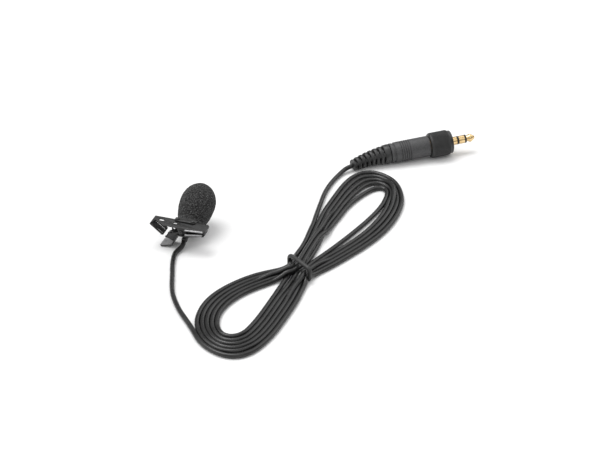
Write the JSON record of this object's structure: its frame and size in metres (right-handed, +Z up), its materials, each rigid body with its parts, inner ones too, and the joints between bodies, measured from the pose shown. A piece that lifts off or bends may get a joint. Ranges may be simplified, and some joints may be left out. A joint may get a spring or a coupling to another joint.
{
  "type": "lavalier microphone",
  "caption": "Lavalier microphone with foam windscreen, steel tie clip, hanked thin cord and 3.5 mm plug with a screw-locking collar.",
  "frame": {"origin": "under the middle of the microphone and its clip, on the surface that it lies on, its cord, hank and plug left out", "axes": "+X towards the clip's jaws, +Y level along the microphone from its cord towards its tip, +Z up"},
  "size_m": [0.1025, 0.1717, 0.0183],
  "materials": {
    "black_steel": "black-coated sheet steel, satin, glossier on its formed faces",
    "spring_steel": "blackened spring steel, satin",
    "bright_steel": "plain bright steel",
    "foam": "dark grey open-cell foam, matt, lightly speckled",
    "black_brass": "black-plated brass, satin, finely knurled on the collar",
    "black_rubber": "soft black rubber, matt",
    "cord_pvc": "black soft PVC, satin with a thin highlight",
    "plug_plastic": "dark grey moulded plastic, finely sparked",
    "gold": "gold-plated brass, polished",
    "nylon": "black insulating nylon",
    "board_green": "green circuit board",
    "film": "metallised film on a pale ring"
  },
  "bodies": {
    "microphone": {"capsule_housing": "black_brass", "front_grille": "bright_steel", "acoustic_cloth": "nylon", "element_can": "bright_steel", "diaphragm": "film", "backplate": "gold", "circuit_board": "board_green", "transistor": "nylon", "rear_gasket": "black_rubber", "cable_crimp": "bright_steel", "cable_boot": "black_rubber", "mic_lead": "cord_pvc", "hank": "cord_pvc", "plug_lead": "cord_pvc", "twist_tie": "black_rubber", "strain_relief": "black_rubber", "plug_body": "plug_plastic", "retaining_ring": "bright_steel", "sleeve_contact": "gold", "ring_insulator": "nylon", "ring_contact": "gold", "tip_insulator": "nylon", "tip_contact": "gold", "solder_lug_1": "bright_steel", "solder_lug_2": "bright_steel", "plug_cable_clamp": "bright_steel"},
    "clip": {"clip_top_plate": "black_steel", "clip_spring_leaf": "spring_steel", "clip_pivot_pin": "bright_steel", "mic_holder_ring": "black_steel", "holder_rivet_1": "bright_steel", "holder_rivet_2": "bright_steel"},
    "lever": {"clip_lever": "black_steel"},
    "windscreen": {"foam_windscreen": "foam"},
    "collar": {"locking_collar": "black_brass"}
  },
  "joints": [
    {"name": "clip_swivel", "type": "hinge", "parent": "microphone", "child": "clip", "pos_m": [0.0017, -0.005, 0.0056], "axis": [0, 0.8829, 0.4695], "continuous": true},
    {"name": "lever_hinge", "type": "hinge", "parent": "clip", "child": "lever", "pos_m": [0.0016, -0.01, 0.00835], "axis": [0, 1, 0], "range_deg": [0, 18], "stiffness_Nm_per_rad": 0.05, "springref_deg": -22.92, "deforming": ["clip_spring_leaf"]},
    {"name": "windscreen_slide", "type": "slide", "parent": "microphone", "child": "windscreen", "axis": [0, 0.8829, 0.4695], "range_m": [0, 0.022]},
    {"name": "collar_spin", "type": "hinge", "parent": "microphone", "child": "collar", "pos_m": [0.07829, 0.0904, 0.0055], "axis": [0.823, 0.5656, 0.0523], "continuous": true}
  ]
}
